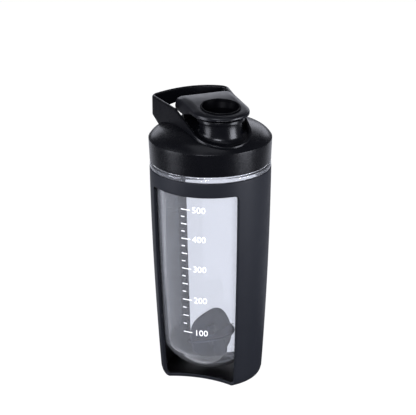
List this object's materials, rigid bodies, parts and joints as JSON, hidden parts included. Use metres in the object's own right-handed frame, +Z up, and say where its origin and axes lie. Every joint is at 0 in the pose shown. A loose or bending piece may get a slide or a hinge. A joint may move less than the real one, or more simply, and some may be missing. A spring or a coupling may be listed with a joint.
{
  "type": "protein shaker bottle",
  "caption": "Shaker bottle: clear round-bottomed cup in a black sleeve with tall windows, screw lid with spout, flip cap, strap handle and loose mixing ball.",
  "frame": {"origin": "middle of the foot, on the table, on the bottle's axis", "axes": "+Z up along the bottle's axis; -Y from the axis towards the spout; +X to the right seen from the spout's side"},
  "size_m": [0.088, 0.088, 0.2107],
  "materials": {
    "sleeve_plastic": "fine matte, moulded",
    "cup_plastic": "clear, polished",
    "silicone": "soft matte",
    "lid_plastic": "satin",
    "handle_plastic": "satin",
    "cap_plastic": "satin",
    "plug_plastic": "satin",
    "pin_steel": "ground",
    "mixer_plastic": "satin, slightly see-through"
  },
  "bodies": {
    "sleeve": {"outer_sleeve": "sleeve_plastic"},
    "cup": {"inner_cup": "cup_plastic"},
    "seal_ring": {"lid_gasket": "silicone"},
    "lid": {"screw_lid": "lid_plastic", "carry_handle": "handle_plastic"},
    "cap": {"flip_cap": "cap_plastic", "cap_plug": "plug_plastic", "spout_seal": "silicone", "hinge_pin": "pin_steel"},
    "ball_pin": {"mixer_pin": "mixer_plastic"},
    "ball": {"mixer_upper": "mixer_plastic", "mixer_lower": "mixer_plastic"}
  },
  "joints": [
    {"name": "cup_lift", "type": "slide", "parent": "sleeve", "child": "cup", "axis": [0, 0, 1], "range_m": [0, 0.165]},
    {"name": "lid_lift", "type": "slide", "parent": "cup", "child": "seal_ring", "axis": [0, 0, 1], "range_m": [0, 0.0165]},
    {"name": "lid_turn", "type": "hinge", "parent": "seal_ring", "child": "lid", "pos_m": [0, 0, 0.1815], "axis": [0, 0, 1], "range_deg": [0, 720]},
    {"name": "cap_flip", "type": "hinge", "parent": "lid", "child": "cap", "pos_m": [0, 0.0138, 0.2017], "axis": [-1, 0, 0], "range_deg": [0, 140]},
    {"name": "ball_rise", "type": "slide", "parent": "cup", "child": "ball_pin", "axis": [0, 0, 1], "range_m": [0, 0.135]},
    {"name": "ball_spin", "type": "hinge", "parent": "ball_pin", "child": "ball", "pos_m": [0, 0, 0.0281], "axis": [-0.1299, 0.0499, 0.9903], "continuous": true}
  ],
  "couplings": [
    {"joint": "lid_lift", "follows": "lid_turn", "m_per_rad": 0.0012732}
  ]
}
